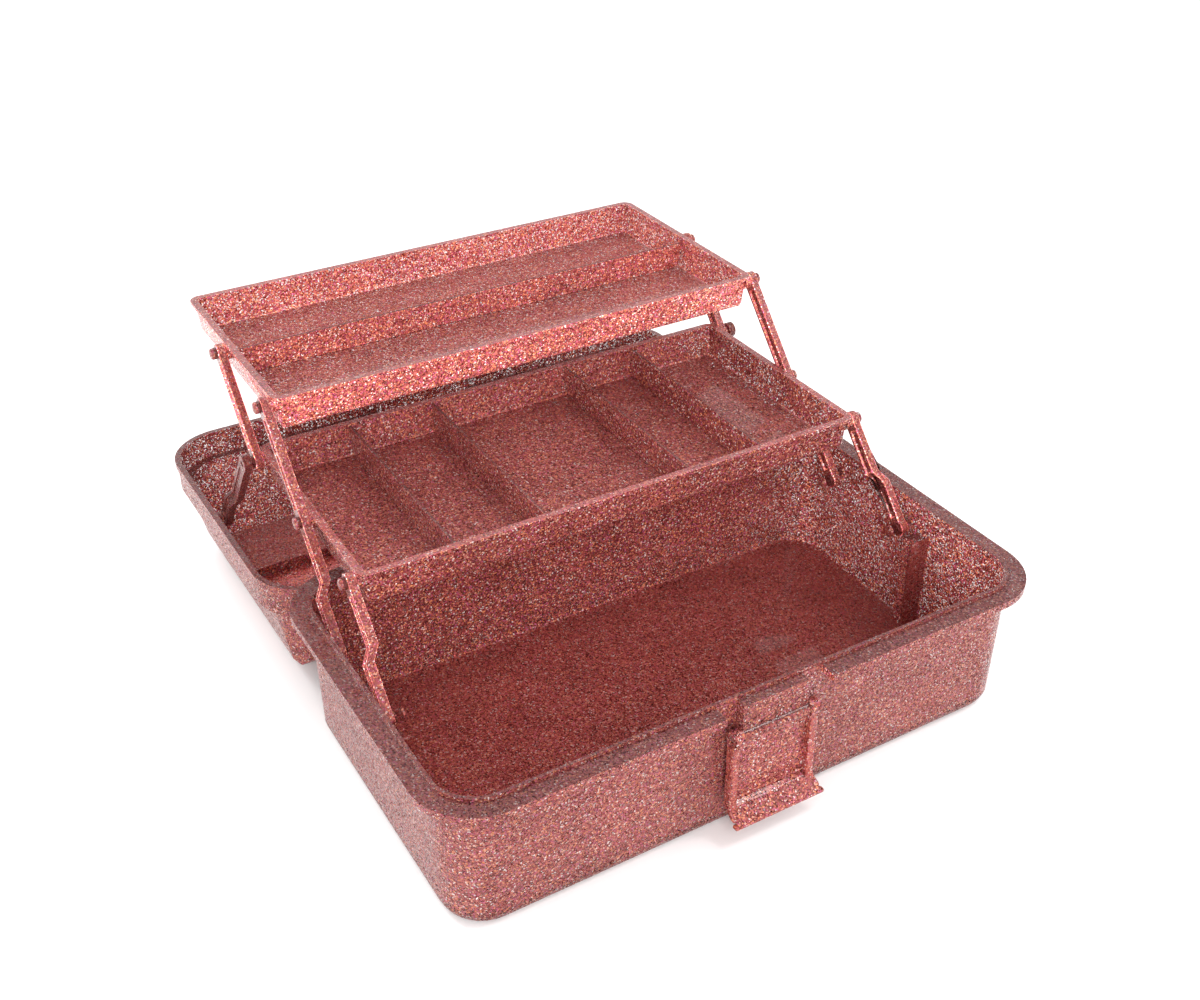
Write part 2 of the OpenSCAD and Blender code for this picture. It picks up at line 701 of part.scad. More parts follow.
// A tray with its bosses; at is its front edge and rim height, pivots are [y, z]
module tray(at, pivots) {
    wall_r = tray_corner_r - tray_rim_out;
    boss_face = tray_plane - arm_t / 2 - side_gap;
    difference() {
        union() {
            translate([0, at[0] + tray_d / 2, at[1] - tray_h]) {
                difference() {
                    tub(tray_out_w, tray_out_d, tray_h, wall_r, tray_draft, tray_edge_r);
                    translate([0, 0, tray_floor_t])
                        tub(tray_in_w, tray_in_d, tray_h - tray_floor_t + PAST, wall_r - tray_wall,
                            tray_draft, tray_edge_r - 1);
                }
                translate([0, 0, tray_h - tray_rim_t])
                    ring(tray_w, tray_d, tray_corner_r, tray_rim_t,
                        tray_in_w + tray_wall, tray_in_d + tray_wall, wall_r - tray_wall / 2);
            }
            both_sides() for (p = pivots)
                rod(boss_r, tray_wall_out(tray_pivot_drop) - BITE, boss_face, p);
        }
        both_sides() for (p = pivots)
            rod(pin_r + seat_gap, boss_face - tray_pin_depth, boss_face + PAST, p);
    }
}

module tray_pins(pivots) {
    head_face = tray_plane + arm_t / 2 + side_gap;
    tip = tray_plane - arm_t / 2 - side_gap - tray_pin_depth + 0.2;
    both_sides() for (p = pivots) headed_pin(pin_r, head_face, tip, p);
}

middle_pivots = [middle_front, middle_rear, middle_link];
upper_pivots = [upper_front, upper_link];

module middle_tray() color("#b06c68") tray(middle_at, middle_pivots);
module upper_tray() color("#b06c68") tray(upper_at, upper_pivots);
module middle_tray_pins() color("#b87672") tray_pins(middle_pivots);
module upper_tray_pins() color("#b87672") tray_pins(upper_pivots);

// A divider seen along its length: it follows the tray's leaning walls and rounded edge
divider_play = 0.1;
module divider_outline(in_d, top) {
    half = in_d / 2 - divider_play;
    inner_h = tray_h - tray_floor_t;
    foot = tray_draft + tray_edge_r;
    polygon([[-half + foot, divider_play], [half - foot, divider_play],
        [half - tray_draft, tray_edge_r], [half - tray_draft * (inner_h - top) / inner_h, top],
        [-half + tray_draft * (inner_h - top) / inner_h, top], [-half + tray_draft, tray_edge_r]]);
}

module middle_divider(x) {
    color("#9c524e")
        translate([x - divider_t / 2, middle_at[0] + tray_d / 2, middle_at[1] - tray_h + tray_floor_t])
        rotate([90, 0, 90]) linear_extrude(divider_t)
        divider_outline(tray_in_d, tray_h - tray_floor_t - 0.6);
}

module upper_divider() {
    color("#9c524e")
        translate([0, upper_at[0] + long_divider_y + divider_t / 2, upper_at[1] - tray_h + tray_floor_t])
        rotate([90, 0, 0]) linear_extrude(divider_t)
        divider_outline(tray_in_w, tray_h - tray_floor_t - long_divider_drop);
}

/* ---------- arms ---------- */

// A bar seen from above: it runs along Y and steps from x0 to x1 between two places
module stepped(x0, x1, at, len, from, to, t) {
    polygon([[x0 - t / 2, from], [x0 - t / 2, at], [x1 - t / 2, at + len], [x1 - t / 2, to],
        [x1 + t / 2, to], [x1 + t / 2, at + len], [x0 + t / 2, at], [x0 + t / 2, from]]);
}

// An arm from pivot start, at an angle above the table, with a groove along both faces.
// stops are the places of its pivots along it, the first of them in plane x0
module arm(start, angle, stops, x0, x1, at, len, w, t) {
    last = stops[len(stops) - 1];
    margin = boss_r + 2;
    translate([0, start[0], start[1]]) rotate([angle, 0, 0]) difference() {
        union() {
            translate([0, 0, -w / 2]) linear_extrude(w) stepped(x0, x1, at, len, 0, last, t);
            for (s = stops) rod(boss_r, (s == 0 ? x0 : x1) - t / 2, (s == 0 ? x0 : x1) + t / 2, [s, 0]);
        }
        for (s = stops) rod(pin_r + turn_gap, (s == 0 ? x0 : x1) - t, (s == 0 ? x0 : x1) + t, [s, 0]);
        for (face = [-1, 1], k = [0 : len(stops) - 2])
            translate([face * (t - groove_depth), 0, -groove_w / 2]) linear_extrude(groove_w)
                if (k == 0) stepped(x0, x1, at, len, margin, stops[1] - margin, t);
                else translate([x1 - t / 2, stops[k] + margin])
                    square([t, stops[k + 1] - stops[k] - 2 * margin]);
    }
}

module rear_arm(left) {
    color("#b4706a") on_side(left)
        arm(rear_pivot, arm_angle, [0, lower_arm, lower_arm + upper_arm], base_plane, tray_plane,
            step_at, step_len, arm_w, arm_t);
}

module front_arm(left) {
    color("#b4706a") on_side(left)
        arm(front_pivot, arm_angle, [0, lower_arm], base_plane, tray_plane,
            step_at, step_len, arm_w, arm_t);
}

module upper_link(left) {
    color("#b4706a") on_side(left)
        arm(middle_link, arm_angle, [0, upper_arm], tray_plane, tray_plane,
            step_at, step_len, arm_w, arm_t);
}

// The lid's link: its tray end is a plain eye that lies beside the pin's head
module lid_link(left) {
    color("#a85f59") on_side(left)
        arm(lid_pivot_open, link_angle, [0, link_len], link_plane_lid, link_plane_tray,
            step_at, step_len, link_w, link_t);
}

/* ---------- drawing ---------- */

base_tub();
base_pivot_pins();
hinge_pins();
latch_pin();
lid_shell();
lid_link_pins();
handle();
handle_pins();
latch_flap();
middle_tray();
middle_divider(middle_dividers[0]);  // middle_divider_1
middle_divider(middle_dividers[1]);  // middle_divider_2
middle_divider(middle_dividers[2]);  // middle_divider_3
middle_divider(middle_dividers[3]);  // middle_divider_4
middle_tray_pins();
upper_tray();
upper_divider();
upper_tray_pins();
rear_arm(true);  // rear_arm_left
rear_arm(false);  // rear_arm_right
front_arm(true);  // front_arm_left
front_arm(false);  // front_arm_right
upper_link(true);  // upper_link_left
upper_link(false);  // upper_link_right
lid_link(true);  // lid_link_left
lid_link(false);  // lid_link_right
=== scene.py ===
"""Art supply box: glitter plastic, two trays on swinging arms, lid laid back on its handle."""

import json
import math

import bpy
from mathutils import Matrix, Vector

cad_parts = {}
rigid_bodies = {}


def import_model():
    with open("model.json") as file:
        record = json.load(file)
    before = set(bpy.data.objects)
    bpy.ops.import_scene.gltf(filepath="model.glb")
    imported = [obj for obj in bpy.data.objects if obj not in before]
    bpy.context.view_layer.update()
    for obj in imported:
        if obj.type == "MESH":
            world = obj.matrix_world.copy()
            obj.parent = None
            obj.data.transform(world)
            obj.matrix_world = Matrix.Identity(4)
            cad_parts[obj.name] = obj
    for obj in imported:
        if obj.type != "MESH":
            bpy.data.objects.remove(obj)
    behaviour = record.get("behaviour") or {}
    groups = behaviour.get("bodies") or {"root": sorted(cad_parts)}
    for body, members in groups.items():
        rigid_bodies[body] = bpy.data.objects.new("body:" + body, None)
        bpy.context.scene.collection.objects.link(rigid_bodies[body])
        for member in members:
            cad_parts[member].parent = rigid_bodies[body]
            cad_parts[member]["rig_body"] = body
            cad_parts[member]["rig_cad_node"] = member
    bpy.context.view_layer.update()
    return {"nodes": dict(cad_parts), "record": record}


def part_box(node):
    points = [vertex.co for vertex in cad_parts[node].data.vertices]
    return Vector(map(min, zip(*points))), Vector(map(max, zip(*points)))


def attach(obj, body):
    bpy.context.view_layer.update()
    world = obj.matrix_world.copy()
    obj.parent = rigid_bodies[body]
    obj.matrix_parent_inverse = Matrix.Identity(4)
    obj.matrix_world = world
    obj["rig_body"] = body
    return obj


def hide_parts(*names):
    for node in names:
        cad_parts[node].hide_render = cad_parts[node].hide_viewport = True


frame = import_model()

bl_info = {
    "name": "Art supply box",
    "version": (1, 0, 0),
    "blender": (4, 5, 0),
    "location": "3D View > Sidebar > Art box",
    "description": "Dresses an art supply box with glitter plastic and its small parts",
    "category": "Object",
}

NODES = frame["nodes"]
BODY_OF = {n: b for b, ns in frame["record"]["behaviour"]["bodies"].items() for n in ns}

# All lengths are in metres
# Rounding of the pieces whose edges are finer than the shells'
ARM_EDGE = 0.0006
HANDLE_EDGE = 0.0006
LATCH_EDGE = 0.0005
DIVIDER_EDGE = 0.0004
EDGE_SEGMENTS = 2
# Points of a CAD mesh closer than this are one point
SAME_POINT = 2e-6

# The arms are flat bars with a groove down each face
ARM_THICK = 0.0044
GROOVE_DEEP = 0.0010

# The arm rests stand against the end walls' inner faces, in front of the front pivots
REST_WALL_X = 0.1544
REST_Y = -0.0200
REST_WIDE = 0.0018
REST_LOW = 0.0050
REST_TOP = 0.0596

# The latch's side beads stand between these distances in front of the plate's rear face, and
# start this far under its top; the lip's bead has this depth and height
BEAD_FROM, BEAD_TO = 0.0011, 0.0066
BEAD_UNDER_TOP = 0.0105
LIP_BEAD_DEEP = 0.0032
LIP_BEAD_HIGH = 0.0018

# Height of a pivot cap's upright edge, before its dome
CAP_EDGE = 0.0010


# ---------------------------------------------------------------- sizes and colours


class BoxSizes(bpy.types.PropertyGroup):
    """Sizes of the details, all in metres."""

    edge: bpy.props.FloatProperty(
        name="Edge rounding", description="Radius of the shells' moulded edges",
        default=0.0007, min=0.0001, max=0.002, unit="LENGTH")
    flake: bpy.props.FloatProperty(
        name="Flake size", description="Width of a glitter flake, drawn coarse enough to show",
        default=0.00065, min=0.0003, max=0.003, unit="LENGTH")
    knob: bpy.props.FloatProperty(
        name="Pivot cap radius", description="Radius of the domed caps on the arms' pivots",
        default=0.0030, min=0.002, max=0.004, unit="LENGTH")
    bead: bpy.props.FloatProperty(
        name="Latch bead width", description="Width of the raised bead round the latch's plate",
        default=0.0042, min=0.003, max=0.005, unit="LENGTH")


class BoxColours(bpy.types.PropertyGroup):
    """Colours of the plastic and of the stage."""

    rose: bpy.props.StringProperty(
        name="Rose", description="The plastic of the walls, sRGB hex", default="a05450")
    rim: bpy.props.StringProperty(
        name="Rims", description="The plastic of rims and ledges, sRGB hex",
        default="8a4444")
    # darker than the walls: painted shade of the floors, which lie near the table out of the
    # light; the arm rests use it too
    floor: bpy.props.StringProperty(
        name="Floors", description="The plastic of the floors, sRGB hex", default="7c3430")
    deep: bpy.props.StringProperty(
        name="Thick ribs", description="The plastic where it is thick, sRGB hex",
        default="6c2c2a")
    bead: bpy.props.StringProperty(
        name="Latch bead", description="The plastic of the latch's bead, sRGB hex",
        default="a0443a")
    arm: bpy.props.StringProperty(
        name="Arms", description="The plastic of the arms, sRGB hex", default="8c3e3a")
    stage: bpy.props.StringProperty(
        name="Floor", description="Colour of the floor, sRGB hex", default="ffffff")


# ---------------------------------------------------------------- helpers


def linear(hex_value):
    """An sRGB hex colour as linear RGBA."""
    parts = [int(hex_value[i:i + 2], 16) / 255 for i in (0, 2, 4)]
    red, green, blue = (c / 12.92 if c <= 0.04045 else ((c + 0.055) / 1.055) ** 2.4
                        for c in parts)
    return red, green, blue, 1.0


def add(tree, kind, values=None, links=None, **settings):
    """Adds a node; values fill its sockets and links join them to other nodes' outputs."""
    node = tree.nodes.new(kind)
    for key, value in settings.items():
        setattr(node, key, value)
    for key, value in (values or {}).items():
        node.inputs[key].default_value = value
    for key, output in (links or {}).items():
        tree.links.new(output, node.inputs[key])
    return node


def blank_material(name):
    """A new material with nothing in its node tree, and that tree."""
    material = bpy.data.materials.new(name)
    material.use_nodes = True
    material.node_tree.nodes.clear()
    return material, material.node_tree


def ramp_stops(ramp, stops):
    """Gives a colour ramp its stops, with no blend between them."""
    ramp.interpolation = "CONSTANT"
    while len(ramp.elements) > 1:
        ramp.elements.remove(ramp.elements[-1])
    ramp.elements[0].position = stops[0][0]
    ramp.elements[0].color = linear(stops[0][1])
    for place, colour in stops[1:]:
        ramp.elements.new(place).color = linear(colour)


def deselect():
    if bpy.context.mode != "OBJECT":
        bpy.ops.object.mode_set(mode="OBJECT")
    bpy.ops.object.select_all(action="DESELECT")


def activate(piece):
    deselect()
    piece.select_set(True)
    bpy.context.view_layer.objects.active = piece


def edit(piece, mode="FACE"):
    activate(piece)
    bpy.ops.object.mode_set(mode="EDIT")
    bpy.ops.mesh.select_mode(type=mode)
    bpy.ops.mesh.select_all(action="DESELECT")


def end_edit():
    bpy.ops.object.mode_set(mode="OBJECT")


def pick_faces(piece, test):
    """Selects the faces that test(centre, normal) holds for, in edit mode."""
    bpy.ops.object.mode_set(mode="OBJECT")
    for face in piece.data.polygons:
        face.select = bool(test(face.center, face.normal))
    bpy.ops.object.mode_set(mode="EDIT")


def pick_edges(piece, test):
    """Selects the edges that test(end, end) holds for, in edit mode."""
    bpy.ops.object.mode_set(mode="OBJECT")
    points = piece.data.vertices
    for edge in piece.data.edges:
        edge.select = bool(test(points[edge.vertices[0]].co, points[edge.vertices[1]].co))
    bpy.ops.object.mode_set(mode="EDIT")


def apply_modifier(piece, kind, **settings):
    activate(piece)
    modifier = piece.modifiers.new(kind.title(), kind)
    for key, value in settings.items():
        setattr(modifier, key, value)
    bpy.ops.object.modifier_apply(modifier=modifier.name)


def settle(piece):
    """Puts a piece's place, turn and scale into its mesh."""
    activate(piece)
    bpy.ops.object.transform_apply(location=True, rotation=True, scale=True)


def smooth(piece, angle):
    activate(piece)
    bpy.ops.object.shade_smooth_by_angle(angle=math.radians(angle))


def paint(piece, material):
    piece.data.materials.clear()
    piece.data.materials.append(material)


def finish_piece(piece, name, body, material):
    settle(piece)
    piece.name = name
    piece.data.name = name
    paint(piece, material)
    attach(piece, body)


# Place of the rounded edges' material, past those that the faces use
RIDGE = 7


def dress(node, width):
    """A copy of a CAD node with its edges rounded; it stands for the node.

    The rounded edges take material place RIDGE, so that they can be told from the faces.
    """
    source = NODES[node]
    piece = source.copy()
    piece.data = source.data.copy()
    piece.parent = None
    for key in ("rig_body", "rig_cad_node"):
        if key in piece:
            del piece[key]
    bpy.context.scene.collection.objects.link(piece)
    edit(piece)
    bpy.ops.mesh.select_all(action="SELECT")
    bpy.ops.mesh.remove_doubles(threshold=SAME_POINT)
    bpy.ops.mesh.dissolve_limited(angle_limit=math.radians(0.6), delimit={"NORMAL"})
    end_edit()
    piece.data.materials.clear()
    for _ in range(RIDGE + 1):
        piece.data.materials.append(None)
    apply_modifier(piece, "BEVEL", width=width, segments=EDGE_SEGMENTS, limit_method="ANGLE",
                   angle_limit=math.radians(30), use_clamp_overlap=True,
                   harden_normals=False, miter_outer="MITER_ARC", material=RIDGE)
    smooth(piece, 40)
    apply_modifier(piece, "WEIGHTED_NORMAL", weight=60, keep_sharp=True)
    piece.name = node + "_moulded"
    piece.data.name = piece.name
    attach(piece, BODY_OF[node])
    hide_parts(node)
    return piece


def repaint(piece, keys, choose, edge_highlight=None):
    """Gives each face one of several materials; choose(centre, normal) returns its place.

    Where a highlight material is named, the rounded edges take that one: a lighter copy, which
    paints highlights along them.
    """
    edges = {f.index for f in piece.data.polygons if f.material_index == RIDGE}
    piece.data.materials.clear()
    for key in keys + ((edge_highlight,) if edge_highlight else ()):
        piece.data.materials.append(MATERIALS[key])
    for face in piece.data.polygons:
        if edge_highlight and face.index in edges:
            face.material_index = len(keys)
        else:
            face.material_index = choose(face.center, face.normal)


def is_up(normal):
    return normal.z > 0.75


def is_inner_wall(centre, normal, middle):
    """Whether an upright face looks towards the middle of its piece."""
    return abs(normal.z) < 0.75 and (centre - middle).xy.dot(normal.xy) < 0


# ---------------------------------------------------------------- materials


# Flake colours: share of the cells up to each stop, from the darkest to the brightest
FLAKES = [(0.0, "621c1c"), (0.13, "8a3836"), (0.34, "aa5450"), (0.53, "be665c"),
          (0.68, "c4628a"), (0.75, "ea9262"), (0.84, "a0365e"), (0.88, "f4b8a0"),
          (0.95, "fff2ee")]
# Index of refraction of polypropylene
PLASTIC_IOR = 1.49
# Width of the clouds where the flakes lie thicker
CLOUD = 0.025
# Heights over which the painted shade along the bottom edge fades out
BOTTOM_SHADE_HEIGHTS = (0.0060, 0.0080)
# How much of what lies behind it a clear cell hides
CLEAR_HIDES = 0.25
# How far the flakes lean
LEAN = 0.85
# How rough the foil flakes are, from the smoothest to the roughest
FOIL_ROUGHNESS = (0.168, 0.42)


def glitter(name, tint, depth, painted_light_gain, flake, clear, bottom_shade_level, coat):
    """Clear rose polypropylene filled with foil flakes, injection moulded.

    Every flake is a cell of one 3-D pattern, with its own colour and its own tilt, so some
    flash and some stay dark. Between the flakes the clear plastic lets light through, and a
    glossy skin of it lies over them, as a coat. depth is how far the plastic tints them and
    clear is the share of clear cells. The gain scales how much light the surface gives back:
    one plastic is made in lighter and darker copies, which paint light and shade on the places
    that get them, and paint highlights on rounded edges. The bottom shade level, below 1,
    paints shade on the lowest few millimetres of the wall.
    """
    material, tree = blank_material(name)
    place = add(tree, "ShaderNodeTexCoord")
    cells = add(tree, "ShaderNodeTexVoronoi", {"Scale": 1 / flake, "Randomness": 1.0},
                {"Vector": place.outputs["Object"]}, voronoi_dimensions="3D", feature="F1")
    parts = add(tree, "ShaderNodeSeparateColor", links={"Color": cells.outputs["Color"]})
    colours = add(tree, "ShaderNodeValToRGB", links={"Fac": parts.outputs["Red"]})
    ramp_stops(colours.color_ramp, FLAKES)
    body = add(tree, "ShaderNodeMix", {0: depth, 7: linear(tint)},
               {6: colours.outputs["Color"]}, data_type="RGBA", blend_type="MIX")
    # slow clouds where the flakes lie thicker
    clouds = add(tree, "ShaderNodeTexNoise",
                 {"Scale": 1 / CLOUD, "Detail": 2.0, "Roughness": 0.5},
                 {"Vector": place.outputs["Object"]})
    level = add(tree, "ShaderNodeMapRange", {"From Min": 0.3, "From Max": 0.7,
                "To Min": 0.9 * painted_light_gain, "To Max": 1.1 * painted_light_gain}, {"Value": clouds.outputs["Fac"]})
    # painted shade along the bottom edge: the lowest few millimetres are darker
    if bottom_shade_level < 1:
        height = add(tree, "ShaderNodeSeparateXYZ", links={"Vector": place.outputs["Object"]})
        bottom = add(tree, "ShaderNodeMapRange",
                     {"From Min": BOTTOM_SHADE_HEIGHTS[0], "From Max": BOTTOM_SHADE_HEIGHTS[1],
                      "To Min": bottom_shade_level, "To Max": 1.0}, {"Value": height.outputs["Z"]})
        level = add(tree, "ShaderNodeMath", operation="MULTIPLY",
                    links={0: level.outputs["Result"], 1: bottom.outputs["Result"]})
    shade = add(tree, "ShaderNodeVectorMath", operation="SCALE",
                links={0: body.outputs[2], "Scale": level.outputs[0]})
    # each flake leans its own way
    lean = add(tree, "ShaderNodeVectorMath", {1: (0.5, 0.5, 0.5)},
               {0: cells.outputs["Color"]}, operation="SUBTRACT")
    tilt = add(tree, "ShaderNodeVectorMath", {"Scale": LEAN}, {0: lean.outputs[0]},
               operation="SCALE")
    surface = add(tree, "ShaderNodeNewGeometry")
    joined = add(tree, "ShaderNodeVectorMath", operation="ADD",
                 links={0: surface.outputs["Normal"], 1: tilt.outputs[0]})
    normal = add(tree, "ShaderNodeVectorMath", operation="NORMALIZE",
                 links={0: joined.outputs[0]})
    foil = add(tree, "ShaderNodeMapRange", {"From Min": 0.55, "From Max": 0.9, "To Min": 0.0,
               "To Max": 0.9}, {"Value": parts.outputs["Green"]})
    gloss = add(tree, "ShaderNodeMapRange",
                {"To Min": FOIL_ROUGHNESS[0], "To Max": FOIL_ROUGHNESS[1]},
                {"Value": parts.outputs["Blue"]})
    shader = add(tree, "ShaderNodeBsdfPrincipled",
                 {"IOR": PLASTIC_IOR, "Specular IOR Level": 0.2, "Coat Weight": coat,
                  "Coat Roughness": 0.06, "Coat IOR": PLASTIC_IOR},
                 {"Base Color": shade.outputs[0], "Metallic": foil.outputs["Result"],
                  "Roughness": gloss.outputs["Result"], "Normal": normal.outputs[0]})
    if clear:
        # the share of the cells that are clear plastic, which shows what lies behind it
        chance = add(tree, "ShaderNodeTexWhiteNoise",
                     links={"Vector": cells.outputs["Position"]}, noise_dimensions="3D")
        window = add(tree, "ShaderNodeMapRange",
                     {"From Min": clear - 0.02, "From Max": clear + 0.02,
                      "To Min": CLEAR_HIDES, "To Max": 1.0}, {"Value": chance.outputs["Value"]})
        tree.links.new(window.outputs["Result"], shader.inputs["Alpha"])
    add(tree, "ShaderNodeOutputMaterial", links={"Surface": shader.outputs["BSDF"]})
    return material


def steel_wire(name):
    """Drawn steel wire, bright: fine scratches run round the pin."""
    material, tree = blank_material(name)
    place = add(tree, "ShaderNodeTexCoord")
    # scratches 0.2 mm apart along the pin
    stretch = add(tree, "ShaderNodeMapping", {"Scale": (5000.0, 300.0, 300.0)},
                  {"Vector": place.outputs["Object"]})
    grain = add(tree, "ShaderNodeTexNoise", {"Scale": 1.0, "Detail": 3.0},
                {"Vector": stretch.outputs["Vector"]})
    gloss = add(tree, "ShaderNodeMapRange", {"To Min": 0.18, "To Max": 0.42},
                {"Value": grain.outputs["Fac"]})
    bump = add(tree, "ShaderNodeBump", {"Strength": 0.15, "Distance": 0.0001},
               {"Height": grain.outputs["Fac"]})
    shader = add(tree, "ShaderNodeBsdfPrincipled",
                 {"Base Color": linear("b9b6b2"), "Metallic": 1.0},
                 {"Roughness": gloss.outputs["Result"], "Normal": bump.outputs["Normal"]})
    add(tree, "ShaderNodeOutputMaterial", links={"Surface": shader.outputs["BSDF"]})
    return material


def floor_paper(name, hex_value):
    """Matt seamless paper: an even pale surface."""
    material, tree = blank_material(name)
    shader = add(tree, "ShaderNodeBsdfPrincipled",
                 {"Base Color": linear(hex_value), "Roughness": 0.9, "Specular IOR Level": 0.1})
    add(tree, "ShaderNodeOutputMaterial", links={"Surface": shader.outputs["BSDF"]})
    return material


MATERIALS = {}


def make_materials():
    sizes = bpy.context.scene.box_sizes
    colours = bpy.context.scene.box_colours
    # tint and its depth, light given back, with painted light and shade, share of clear cells,
    # painted shade at the bottom, gloss of skin
    for key, finish, tint, depth, painted_light_gain, clear, bottom_shade_level, coat in (
            ("outer", "outer walls", colours.rose, 0.35, 0.84, 0.20, 0.74, 0.3),
            ("inner", "base's inner walls", colours.rose, 0.15, 1.15, 0.30, 1, 0.6),
            # the end walls: a lighter copy of the inner walls, painted light
            ("inner_end_lit", "base's inner end walls", colours.rose, 0.15, 1.60, 0.34, 1, 0.6),
            ("lid_inner", "lid's inner walls", colours.rose, 0.15, 1.20, 0.42, 1, 0.3),
            ("rim", "rims and ledges", colours.rim, 0.60, 0.52, 0.06, 1, 0.6),
            # rounded edges: a lighter copy, painted highlights
            ("edge_highlight", "rounded edges", colours.rose, 0.40, 1.80, 0.06, 1, 1.0),
            # the floors' darker colour is painted shade; the lid's panel is a lighter copy of
            # it, painted light
            ("lid_floor", "lid's floor", colours.floor, 0.70, 1.14, 0.06, 1, 0.5),
            ("lid_recess", "lid's raised panel", colours.floor, 0.70, 2.20, 0.06, 1, 0.3),
            ("base_floor", "base's floor", colours.floor, 0.80, 1.30, 0.04, 1, 0.6),
            ("tray", "middle tray's walls", colours.rose, 0.20, 1.08, 0.20, 1, 0.6),
            # the upper tray's walls: lighter copies of the middle tray's, painted light
            ("top_outer_lit", "upper tray's outer walls", colours.rose, 0.20, 2.20, 0.20, 1, 0.6),
            ("top_inner_lit", "upper tray's inner walls", colours.rose, 0.20, 1.50, 0.25, 1, 0.6),
            ("tray_rim", "trays' rims", colours.rim, 0.60, 1.10, 0.0, 1, 0.8),
            # the trays' rounded edges: painted highlights
            ("tray_edge_highlight", "trays' rounded edges", colours.rose, 0.40, 2.70, 0.0, 1, 1.0),
            ("tray_floor", "trays' floors", colours.rose, 0.45, 0.85, 0.12, 1, 0.6),
            ("deep", "thick ribs", colours.deep, 0.75, 0.70, 0.0, 1, 0.3),
            # the ribs' rounded edges: painted highlights
            ("deep_edge_highlight", "ribs' rounded edges", colours.rim, 0.60, 0.90, 0.0, 1, 0.6),
            ("rib", "arm rests", colours.floor, 0.80, 1.10, 0.0, 1, 0.3),
            ("latch", "latch plate", colours.rose, 0.30, 1.00, 0.15, 1, 0.4),
            ("latch_bead", "latch's bead", colours.bead, 0.60, 1.05, 0.0, 1, 0.6),
            ("arm", "arms", colours.arm, 0.50, 1.00, 0.0, 1, 0.6),
            # the arms' rounded edges: painted highlights
            ("arm_edge_highlight", "arms' rounded edges", colours.rose, 0.30, 2.80, 0.0, 1, 1.0),
            # the grooves' darker copy: painted shade
            ("groove", "arms' grooves", colours.deep, 0.60, 0.95, 0.0, 1, 0.3)):
        MATERIALS[key] = glitter("Moulded rose glitter polypropylene, " + finish, tint, depth,
                                 painted_light_gain, sizes.flake, clear, bottom_shade_level, coat)
    MATERIALS["steel"] = steel_wire("Drawn steel wire")


# ---------------------------------------------------------------- operators


class BOX_OT_materials(bpy.types.Operator):
    """Makes the glitter plastics and the pin's steel"""

    bl_idname = "artbox.materials"
    bl_label = "Materials"

    def execute(self, context):
        make_materials()
        return {"FINISHED"}


class BOX_OT_base(bpy.types.Operator):
    """Rounds the base's edges and dresses its walls, floor and rim"""

    bl_idname = "artbox.base"
    bl_label = "Base"

    def execute(self, context):
        piece = dress("base_tub", context.scene.box_sizes.edge)
        low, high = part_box("base_tub")
        middle = Vector(((low.x + high.x) / 2, 0, 0))

        def choose(centre, normal):
            if is_up(normal):
                return 3 if centre.z < 0.02 else 2
            if is_inner_wall(centre, normal, middle):
                return 4 if abs(normal.x) > 0.7 else 1
            return 0

        # the inner end walls take a lighter copy, painted light; the floor a darker colour,
        # painted shade; the rounded edges painted highlights
        repaint(piece, ("outer", "inner", "rim", "base_floor", "inner_end_lit"), choose, "edge_highlight")
        return {"FINISHED"}


class BOX_OT_lid(bpy.types.Operator):
    """Rounds the lid's edges and dresses its walls, top and rim"""

    bl_idname = "artbox.lid"
    bl_label = "Lid"

    def execute(self, context):
        piece = dress("lid_shell", context.scene.box_sizes.edge)
        low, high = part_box("lid_shell")
        middle = (low + high) / 2

        def choose(centre, normal):
            # the lid lies on its back: its rim is above 25 mm, its panel's hollow below 6 mm
            if is_up(normal):
                return 2 if centre.z > 0.025 else (3 if centre.z > 0.006 else 4)
            return 1 if is_inner_wall(centre, normal, middle) else 0

        # the lid's floor takes the darker floor colour, painted shade, its panel a lighter
        # copy, painted light, and the rounded edges painted highlights
        finishes = ("outer", "lid_inner", "rim", "lid_floor", "lid_recess")
        repaint(piece, finishes, choose, "edge_highlight")
        return {"FINISHED"}


class BOX_OT_trays(bpy.types.Operator):
    """Rounds both trays' edges and dresses their walls and floors"""

    bl_idname = "artbox.trays"
    bl_label = "Trays"

    def execute(self, context):
        for node in ("middle_tray", "upper_tray"):
            piece = dress(node, context.scene.box_sizes.edge)
            low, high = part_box(node)
            middle = (low + high) / 2

            def choose(centre, normal):
                if is_up(normal):
                    return 3 if centre.z < high.z - 0.01 else 2
                return 1 if is_inner_wall(centre, normal, middle) else 0

            # the upper tray's walls take lighter copies, painted light; the rounded edges
            # painted highlights
            walls = ("top_outer_lit", "top_inner_lit") if node == "upper_tray" else ("tray", "tray")
            repaint(piece, walls + ("tray_rim", "tray_floor"), choose, "tray_edge_highlight")
        return {"FINISHED"}


class BOX_OT_dividers(bpy.types.Operator):
    """Rounds the dividers' edges"""

    bl_idname = "artbox.dividers"
    bl_label = "Dividers"

    def execute(self, context):
        for node in sorted(n for n in NODES if "divider" in n):
            piece = dress(node, DIVIDER_EDGE)
            wall = "top_inner_lit" if node == "upper_divider" else "tray"
            repaint(piece, (wall, "deep"),
                    lambda centre, normal: 1 if is_up(normal) else 0)
        return {"FINISHED"}


